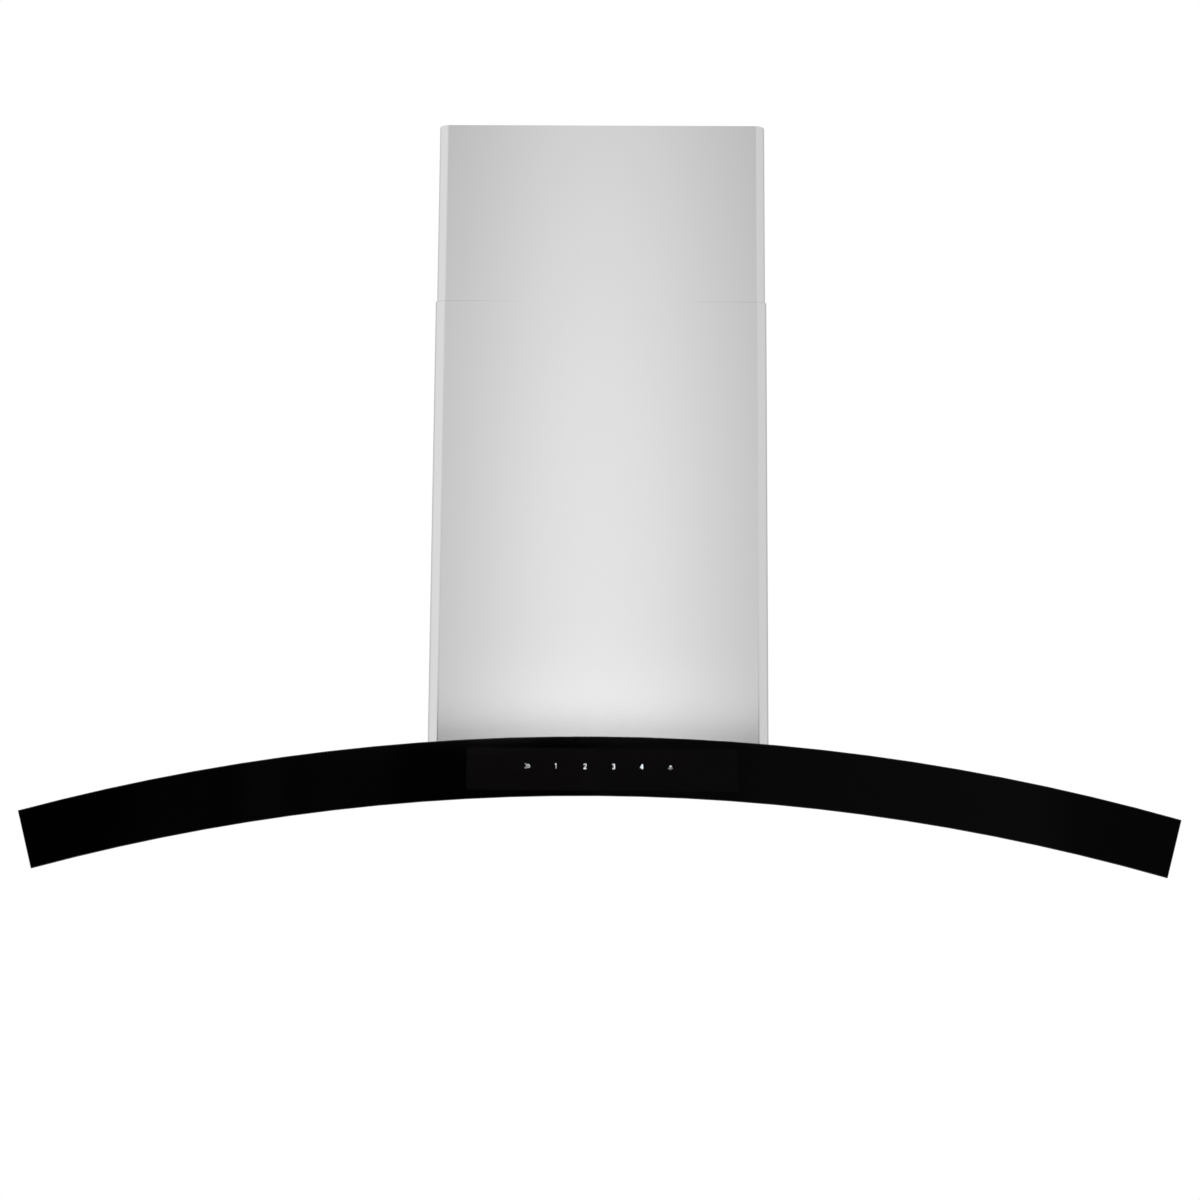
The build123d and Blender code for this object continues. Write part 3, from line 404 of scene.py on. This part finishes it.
def floor_finish():
    """Pale and dull, open towards its rim and when seen from below."""
    material = bpy.data.materials.new("pale_floor")
    material.use_nodes = True
    material.node_tree.nodes.clear()
    tree = Wire(material.node_tree)
    spot = place_on(tree)
    x, y, _ = axes(spot)
    rim = step(flat_length(x, y), FLOOR_RADIUS * FADE_START, FLOOR_RADIUS * FADE_END)
    below = tree.node("ShaderNodeNewGeometry", output="Backfacing")
    open_part = tree.maths("MAXIMUM", rim, below)
    speckle = noise(spot, SPECKS, detail=4.0)
    tint = mixed(speckle, (0.80, 0.80, 0.795), (0.84, 0.84, 0.835))
    plain = tree.node("ShaderNodeBsdfDiffuse", inputs={"Color": tint})
    clear = tree.node("ShaderNodeBsdfTransparent")
    surface = tree.node("ShaderNodeMixShader", inputs={0: open_part, 1: plain, 2: clear})
    tree.node("ShaderNodeOutputMaterial", inputs={"Surface": surface})
    return material


floor = floor_disc()
floor.data.materials.append(floor_finish())
print("floor at", FLOOR_HEIGHT, "m, radius", FLOOR_RADIUS, "m")

# %% [markdown]
# The covers are stainless steel brushed up and down. Brushing leaves hair-fine scratches in
# one direction, so the noise that colours the steel, roughens it and lifts it is squeezed
# across the brushing and drawn out along it. Two sizes are laid over each other, fine hairs
# and wider streaks, with a soft cloud under them. Just below the top of the lower cover runs
# a line of painted shade, darker towards both sides, that stands in for the shade in the seam
# between the covers.

# %% Brushed steel
SIDEWAYS, INWARDS, UPRIGHT = range(3)
ALONG, HAIR, STREAK, CLOUD = 1.6, 1400.0, 420.0, 5.0
BRUSH_DEPTH = 0.00002
SEAM_START, SEAM_FULL = 0.0016, 0.0006
SEAM_FADE = (0.05, 0.14)
SEAM_SHADE_GREY = 0.735


def grain(spot, axis, across_scale):
    """Noise drawn out along one axis, the direction of the brushing."""
    scale = [across_scale] * 3
    scale[axis] = ALONG
    return noise(stretched(spot, scale), 1.0, detail=3.0, roughness=0.6)


def brushed(name, axis, dark, light, smooth, rough, constants=None, rim=None):
    """Brushed steel; just below the height `rim`, if given, runs a fine line of painted shade."""

    def build(spot):
        hair, streak = grain(spot, axis, HAIR), grain(spot, axis, STREAK)
        cloud = noise(spot, CLOUD, detail=1.0)
        both = hair * 0.6 + streak * 0.25 + cloud * 0.15
        tone = mixed(step(both, 0.25, 0.75), dark, light)
        if rim is not None:
            x, _, z = axes(spot)
            from_centre = spot.maths("ABSOLUTE", x)
            # A line of painted shade just below the rim, for the seam between the covers; it fades
            # out towards the middle.
            seam_shade = step(z, rim - SEAM_START, rim - SEAM_FULL) * step(from_centre, *SEAM_FADE)
            tone = mixed(seam_shade, tone, SEAM_SHADE_GREY)
        return {
            "Base Color": tone,
            "Roughness": step(both, 0.2, 0.8, smooth, rough),
            "Normal": relief(hair * 0.8 + streak * 0.2, 0.05, BRUSH_DEPTH),
        }

    finish(name, {"Metallic": 1.0, "Base Color": colour(light), **(constants or {})}, build)


COVER_STEEL = (UPRIGHT, 0.788, 0.808, 0.13, 0.16, {"Anisotropic": 0.45})
seam_height = corners("lower_chimney_cover")[1].z
brushed("stainless_cover", *COVER_STEEL)
brushed("lower_cover_steel", *COVER_STEEL, rim=seam_height)
brushed("canopy_sheet", SIDEWAYS, (0.60, 0.60, 0.595), (0.74, 0.74, 0.735), 0.26, 0.38)
brushed("bay_sheet", INWARDS, (0.64, 0.64, 0.63), (0.70, 0.70, 0.69), 0.28, 0.38)
brushed("filter_bar", SIDEWAYS, (0.64, 0.64, 0.63), (0.72, 0.72, 0.71), 0.24, 0.34)
brushed("baffle_sheet", INWARDS, (0.70, 0.71, 0.72), (0.78, 0.79, 0.80), 0.26, 0.36)
brushed("spring_strip", SIDEWAYS, (0.42, 0.42, 0.44), (0.52, 0.52, 0.54), 0.22, 0.34)
print("brushed finishes:", len(finishes))

# %% [markdown]
# The box over the canopy, the scroll of the blower, the wall plate and the brackets are
# galvanised sheet. Zinc freezes into large flat crystals, each of which shines a little
# differently, so a cell pattern gives every crystal its own grey and its own gloss.

# %% Galvanised sheet
SPANGLE = 105.0
EDGE_WAVES, EDGE_BEND = 40.0, 0.01
DUST, ZINC_DEPTH = 600.0, 0.00005


def spangle(spot):
    """Flat cells with slightly wavy borders, and a fine dust over them."""
    waves = noise(spot, EDGE_WAVES, detail=1.0)
    shift = waves.node("ShaderNodeCombineXYZ", inputs={0: waves, 1: waves, 2: waves})
    moved = {0: spot, 1: stretched(shift, (EDGE_BEND,) * 3)}
    bent = spot.node("ShaderNodeVectorMath", {"operation": "ADD"}, moved)
    cell_inputs = {"Vector": bent, "Scale": SPANGLE}
    cells = spot.node("ShaderNodeTexVoronoi", inputs=cell_inputs, output="Color")
    grey = axes(cells)[0]
    dust = noise(spot, DUST, detail=3.0)
    return {
        "Base Color": mixed(grey * 0.8 + dust * 0.2, (0.52, 0.54, 0.56), (0.68, 0.70, 0.72)),
        "Roughness": step(grey * 0.7 + dust * 0.3, 0.1, 0.9, 0.32, 0.52),
        "Normal": relief(grey * 0.4 + dust * 0.6, 0.15, ZINC_DEPTH),
    }


finish("galvanised_sheet", {"Metallic": 1.0, "Base Color": colour((0.6, 0.62, 0.64))}, spangle)
print("crystals about", round(1000 / SPANGLE, 1), "mm across")

# %% [markdown]
# Both panes are clear toughened glass printed black on the back, so the eye sees a deep
# black under a polished face. The cut edges are ground and stay a little dull and grey.
# Behind the front pane the touch film makes a window that is a shade less black. Its left
# half is painted a little lighter than its right, a painted reflection that makes up for the
# dimmer reflection on the left.

# %% Black glass
WINDOW = {"left": -0.1015, "right": 0.108, "low": -0.1913, "high": -0.1597}
WINDOW_HEM = 0.001
PAINTED_SPLIT = (-0.012, 0.006)
LEFT_FILM_PAINTED_LIGHTER, RIGHT_FILM = (0.0026, 0.0022, 0.0024), (0.0014, 0.0011, 0.0012)
GROUND_EDGE = (0.020, 0.026, 0.024)
WIPE_MARKS = (9.0, 9.0, 14.0)


def pane(flat_axis, window):
    """A pane whose polished faces look mostly along one axis, with ground edges."""

    def build(spot):
        facing = axes(spot.node("ShaderNodeNewGeometry", output="Normal"))
        polished = spot.maths("ABSOLUTE", facing[flat_axis])
        edge = step(polished, 0.75, 0.55)
        wipes = noise(stretched(spot, WIPE_MARKS), 1.0, detail=4.0)
        print_black = mixed(wipes, (0.00005, 0.00005, 0.00006), (0.00015, 0.00015, 0.00017))
        if window:
            x, _, z = axes(spot)
            inside = step(x, window["left"] - WINDOW_HEM, window["left"])
            inside = inside * step(x, window["right"] + WINDOW_HEM, window["right"])
            inside = inside * step(z, window["low"] - WINDOW_HEM, window["low"])
            inside = inside * step(z, window["high"] + WINDOW_HEM, window["high"])
            # Painted reflection: the left half of the window is lighter, to make up for the dimmer
            # reflection that falls on it.
            film_and_painted_reflection = mixed(step(x, *PAINTED_SPLIT), LEFT_FILM_PAINTED_LIGHTER, RIGHT_FILM)
            print_black = mixed(inside, print_black, film_and_painted_reflection)
        return {
            "Base Color": mixed(edge, print_black, GROUND_EDGE),
            "Roughness": step(wipes, 0.3, 0.8, 0.02, 0.05) + edge * 0.25,
        }

    return build


GLASS = {"IOR": 1.5, "Base Color": colour(0.004)}
finish("front_pane", GLASS, pane(INWARDS, WINDOW))
finish("top_pane", GLASS, pane(UPRIGHT, None))
print("control window:", round((WINDOW["right"] - WINDOW["left"]) * 1000), "mm wide")

# %% [markdown]
# Plastics, rubber and paint are not metals: their colour comes from inside and only a thin
# shine lies on top. Moulded boxes have an even grain from the tool, foam tape is full of
# tiny pores, and the painted motor has the orange-peel skin of sprayed paint. Screws and
# the cast heat sinks of the lamps are metal with the same even grain, so they follow.

# %% Moulded, painted, foamed and cast surfaces
WIDE_TO_FINE = 40
METAL = {"Metallic": 1.0}


def moulded(name, dark, light, smooth, rough, scale, depth, constants=None):
    """Even grain of one size under soft patches that are forty times as wide."""

    def build(spot):
        fine = noise(spot, scale, detail=3.0)
        wide = noise(spot, scale / WIDE_TO_FINE, detail=2.0)
        return {
            "Base Color": mixed(step(fine * 0.4 + wide * 0.6, 0.3, 0.7), dark, light),
            "Roughness": step(wide * 0.6 + fine * 0.4, 0.3, 0.7, smooth, rough),
            "Normal": relief(fine, 0.4, depth),
        }

    finish(name, {"Base Color": colour(light), **(constants or {})}, build)


moulded("foam_tape", 0.012, 0.030, 0.75, 0.95, 2500.0, 0.0002)
moulded("black_moulding", (0.014, 0.014, 0.015), (0.024, 0.024, 0.025), 0.42, 0.55, 1800.0, 0.00006)
moulded("white_moulding", (0.72, 0.72, 0.70), (0.80, 0.80, 0.78), 0.35, 0.48, 1500.0, 0.00004)
moulded("wheel_moulding", (0.08, 0.08, 0.09), (0.13, 0.13, 0.14), 0.38, 0.50, 1200.0, 0.00005)
moulded("printed_film", (0.03, 0.03, 0.034), (0.06, 0.06, 0.066), 0.40, 0.55, 900.0, 0.00003)
moulded("sprayed_motor", (0.15, 0.16, 0.17), (0.21, 0.22, 0.23), 0.32, 0.46, 260.0, 0.00010)
moulded("zinc_screw", (0.62, 0.62, 0.64), (0.76, 0.76, 0.78), 0.20, 0.34, 1500.0, 0.00003, METAL)
moulded("cast_heat_sink", (0.58, 0.59, 0.60), (0.70, 0.71, 0.72), 0.42, 0.58, 700.0, 0.00008, METAL)
print("finishes with these:", len(finishes))

# %% [markdown]
# The control board and the power board are green lacquer over copper. Staggered bricks make
# the copper areas that show through the lacquer, and the spots near the middles of small
# cells are bare solder pads, which are metal and a little smoother.

# %% Circuit boards
TRACKS = {"Scale": 110.0, "Mortar Size": 0.035}
TRACK_OFFSET = 0.37
TRACK_GREYS = {"Color1": colour(0.0), "Color2": colour(0.35), "Mortar": colour(1.0)}
PADS, PAD_EDGE, PAD_FULL = 260.0, 0.22, 0.16
DARK_LACQUER, LIGHT_LACQUER = (0.012, 0.085, 0.030), (0.030, 0.16, 0.055)
SOLDER = (0.62, 0.60, 0.55)


def circuit(spot):
    x, y, z = axes(spot)
    spread = spot.node("ShaderNodeCombineXYZ", inputs={0: x, 1: y + z, 2: 0.0})
    bricks = {"Vector": spread, **TRACKS, **TRACK_GREYS}
    tracks = axes(spot.node("ShaderNodeTexBrick", {"offset": TRACK_OFFSET}, bricks))[0]
    dot_inputs = {"Vector": spot, "Scale": PADS}
    dots = spot.node("ShaderNodeTexVoronoi", inputs=dot_inputs, output="Distance")
    pads = step(dots, PAD_EDGE, PAD_FULL)
    mask = mixed(step(tracks, 0.2, 0.9), DARK_LACQUER, LIGHT_LACQUER)
    return {
        "Base Color": mixed(pads, mask, SOLDER),
        "Roughness": 0.32 - pads * 0.08,
        "Metallic": pads * 0.9,
        "Normal": relief(tracks * 0.5 + pads, 0.3, 0.00005),
    }


finish("circuit_board", {"Base Color": colour((0.02, 0.11, 0.04))}, circuit)
print("tracks repeat every", round(1000 / TRACKS["Scale"], 1), "mm")

# %% [markdown]
# A lamp is a chromed ring round a frosted disc. The disc is pressed with fine rings that
# spread the light, so its relief is drawn from the distance to the lamp's own middle.

# %% Lamp lenses and rings
RING_PITCH, RING_DEPTH = 0.0016, 0.0002
FROST, LATHE = 1400.0, 2200.0


def from_lamp(spot, middle):
    """How far a point lies from the upright axis of a lamp."""
    x, y, _ = axes(spot)
    return flat_length(x - middle.x, y - middle.y)


def lens_finish(name, middle):
    """Frosted plastic, pressed with rings that rise and fall once in every pitch."""

    def build(spot):
        wave = spot.maths("PINGPONG", from_lamp(spot, middle), RING_PITCH / 2)
        ring, frost = wave / (RING_PITCH / 2), noise(spot, FROST, detail=2.0)
        return {
            "Base Color": mixed(ring * 0.5 + frost * 0.5, (0.74, 0.76, 0.76), (0.86, 0.88, 0.88)),
            "Roughness": step(frost, 0.3, 0.7, 0.30, 0.42),
            "Normal": relief(ring, 0.6, RING_DEPTH),
        }

    finish(name, {"Base Color": colour((0.84, 0.86, 0.86)), "IOR": 1.49}, build)


def turned_ring(name, middle):
    """Satin chrome, turned on a lathe: its scratches run round the ring."""

    def build(spot):
        turns = {0: from_lamp(spot, middle) * LATHE, 1: 0.0, 2: 0.0}
        lathe = noise(spot.node("ShaderNodeCombineXYZ", inputs=turns), 1.0, detail=3.0)
        return {
            "Base Color": mixed(lathe, (0.70, 0.70, 0.71), (0.82, 0.82, 0.83)),
            "Roughness": step(lathe, 0.3, 0.7, 0.12, 0.24),
            "Normal": relief(lathe, 0.15, 0.00003),
        }

    finish(name, {"Base Color": colour(0.8), "Metallic": 1.0}, build)


for side in ("left", "right"):
    middle = corners("lamp_lens_" + side)[2]
    lens_finish("frosted_lens_" + side, middle)
    turned_ring("lamp_ring_" + side, middle)
    print("lamp", side, "at", [round(v, 3) for v in middle])

# %% [markdown]
# Each shape in the frame now gets its finish. A shape that is right as it is only needs
# another material in its slots. A left and a right piece share a finish, apart from the
# lamps, whose rings each run round a middle of their own.

# %% Which piece has which finish
def pair(name):
    """The left and the right piece of a name."""
    return [name + "_left", name + "_right"]


WEARS = {
    "stainless_cover": ["upper_chimney_cover"],
    "lower_cover_steel": ["lower_chimney_cover"],
    "canopy_sheet": ["canopy_body", "underside_pan"],
    "bay_sheet": pair("filter_bay"),
    "filter_bar": pair("filter_frame"),
    "baffle_sheet": pair("filter_baffles"),
    "spring_strip": pair("latch_strike") + pair("latch_spring"),
    "galvanised_sheet": [
        "mounting_plate", "blower_box_walls", "blower_box_back", "blower_box_top",
        "blower_box_flange", "scroll_wrap", *pair("scroll_side"), "motor_bracket", "duct_collar",
        "damper_flap_front", "damper_flap_back", "chimney_tabs", "upper_bracket",
    ],
    "front_pane": ["front_glass"],
    "top_pane": ["top_glass"],
    "foam_tape": ["front_glass_tape", "top_glass_tape"],
    "black_moulding": [
        "control_housing", "power_box", "junction_box", "junction_lid", "cable_gland",
        *pair("filter_latch"),
    ],
    "white_moulding": ["terminal_block", "run_capacitor"],
    "wheel_moulding": ["blower_wheel"],
    "printed_film": ["touch_film"],
    "sprayed_motor": ["motor_housing"],
    "zinc_screw": [
        "box_screws", "pan_screws", "motor_shaft", "motor_bearings", "motor_screws",
        "damper_rod", "lower_cover_screws", "upper_cover_screws",
    ],
    "cast_heat_sink": pair("lamp_module"),
    "circuit_board": ["control_board", "power_board"],
    "frosted_lens_left": ["lamp_lens_left"],
    "frosted_lens_right": ["lamp_lens_right"],
    "lamp_ring_left": ["lamp_bezel_left"],
    "lamp_ring_right": ["lamp_bezel_right"],
}
dressed = set()
for name, pieces in WEARS.items():
    for piece in pieces:
        materials = nodes[piece].data.materials
        if not materials:
            materials.append(finishes[name])
        for index in range(len(materials)):
            materials[index] = finishes[name]
        dressed.add(piece)
print("dressed:", len(dressed), "left bare:", sorted(set(nodes) - dressed))

# %% [markdown]
# The touch keys show through the glass as small white signs: a timer, the four speeds and
# the light. Each sign is drawn with a pen: a list of strokes in millimetres, every stroke a
# thin flat ribbon with round ends. A ribbon stands 0.06 mm out of the face of the pane, so
# that it shows, and reaches 0.04 mm into it, so that no gap is left behind it.

# %% Strokes of a pen
SIGN_SIZE = 0.9
FIGURE_TOP = 2.05
PEN_MM, FINE_PEN_MM = 0.30, 0.17
STRAIGHT_DOWN, RAY_TURN = -90, 50


def arc(x, y, radius, start, end, steps=14):
    """Points of an arc, angles in degrees from +X towards up."""
    turns = [radians(start + (end - start) * i / steps) for i in range(steps + 1)]
    return [(x + radius * cos(a), y + radius * sin(a)) for a in turns]


def ray_strokes(inner, outer, count):
    """Short rays below a lamp, spread evenly about straight down."""
    strokes = []
    for i in range(count):
        a = radians(STRAIGHT_DOWN + RAY_TURN * (i - (count - 1) / 2))
        strokes.append([(inner * cos(a), inner * sin(a)), (outer * cos(a), outer * sin(a))])
    return strokes


SIGNS = {
    "timer": {
        FINE_PEN_MM: [
            arc(0.5, 0, 1.4, 0, 360, 28),
            [(-2.1, 1.7), (-1.4, 1.9)],
            [(-2.1, -1.7), (-1.4, -1.9)],
        ],
        PEN_MM: [[(0.5, 0.7), (0.5, 0)]],
    },
    "one": {
        PEN_MM: [[(-0.7, 1.5), (0.15, FIGURE_TOP)]],
        FINE_PEN_MM: [[(0.15, FIGURE_TOP), (0.15, -FIGURE_TOP)]],
    },
    "two": {PEN_MM: [arc(0, 0.95, 1.1, 165, -40) + [(-1.2, -FIGURE_TOP), (1.3, -FIGURE_TOP)]]},
    "three": {PEN_MM: [arc(0, 1.05, 1.0, 150, -90) + arc(0, -0.95, 1.1, 90, -150)]},
    "four": {PEN_MM: [[(0.6, -FIGURE_TOP), (0.6, FIGURE_TOP), (-1.3, -0.85), (1.4, -0.85)]]},
    "light": {PEN_MM: [arc(0, 0.5, 0.45, 0, 360, 12)], FINE_PEN_MM: ray_strokes(1.5, 2.2, 3)},
}
print("signs to draw:", ", ".join(SIGNS), "height:", round(2 * FIGURE_TOP * SIGN_SIZE, 1), "mm")

# %% From strokes to ribbons
SIGN_LINE = -0.1732
SIGN_FACE = (-0.50006, -0.49996)
PLUG_CORNERS = 10


def prism(mesh, ring, middle):
    """A flat prism from a ring of points in millimetres, as thick as the signs."""
    near, far = [
        [mesh.verts.new((middle.x + x / 1000, y, middle.z + z / 1000)) for x, z in ring]
        for y in SIGN_FACE
    ]
    mesh.faces.new(near)
    mesh.faces.new(list(reversed(far)))
    for i in range(len(ring)):
        j = (i + 1) % len(ring)
        mesh.faces.new((near[i], far[i], far[j], near[j]))


def ribbon(mesh, stroke, half, middle):
    """A box along each part of a stroke, and a round plug at its two ends."""
    for (x0, z0), (x1, z1) in zip(stroke, stroke[1:]):
        long = Vector((x1 - x0, z1 - z0))
        side = Vector((-long.y, long.x)).normalized() * half
        left = [(x0 + side.x, z0 + side.y), (x1 + side.x, z1 + side.y)]
        right = [(x1 - side.x, z1 - side.y), (x0 - side.x, z0 - side.y)]
        prism(mesh, left + right, middle)
    turns = [2 * pi * k / PLUG_CORNERS for k in range(PLUG_CORNERS)]
    for x, z in (stroke[0], stroke[-1]):
        prism(mesh, [(x + half * cos(a), z + half * sin(a)) for a in turns], middle)


print("a sign is", round((SIGN_FACE[1] - SIGN_FACE[0]) * 1000, 2), "mm thick")

# %% The signs on the touch keys
SIGN_PLACES_MM = {
    "timer": -54.6, "one": -32.5, "two": -9.9, "three": 12.2, "four": 34.1, "light": 56.4,
}


def sign(name):
    """One sign in its place, as a piece that rides with the hood."""
    middle = Vector((SIGN_PLACES_MM[name] / 1000, 0, SIGN_LINE))
    built = bmesh.new()
    for pen, strokes in SIGNS[name].items():
        for stroke in strokes:
            ribbon(built, [(SIGN_SIZE * x, SIGN_SIZE * z) for x, z in stroke], pen / 2, middle)
    bmesh.ops.recalc_face_normals(built, faces=built.faces)
    mesh = bpy.data.meshes.new("sign_" + name)
    built.to_mesh(mesh)
    built.free()
    piece = bpy.data.objects.new("sign_" + name, mesh)
    scene.collection.objects.link(piece)
    mesh.materials.append(finishes["lit_ink"])
    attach(piece, "hood")


def ink(spot):
    """White ink lit from behind, with a fine speckle."""
    speck = noise(spot, 3000.0, detail=2.0)
    tone = mixed(speck, (0.74, 0.76, 0.80), (0.84, 0.86, 0.90))
    dull = step(speck, 0.3, 0.7, 0.4, 0.55)
    return {"Base Color": tone, "Emission Color": tone, "Roughness": dull}


finish("lit_ink", {"Base Color": colour((0.8, 0.82, 0.86)), "Emission Strength": 1.2}, ink)
for name in SIGNS:
    sign(name)
print("signs in place:", len(SIGNS), "finishes in all:", len(finishes))
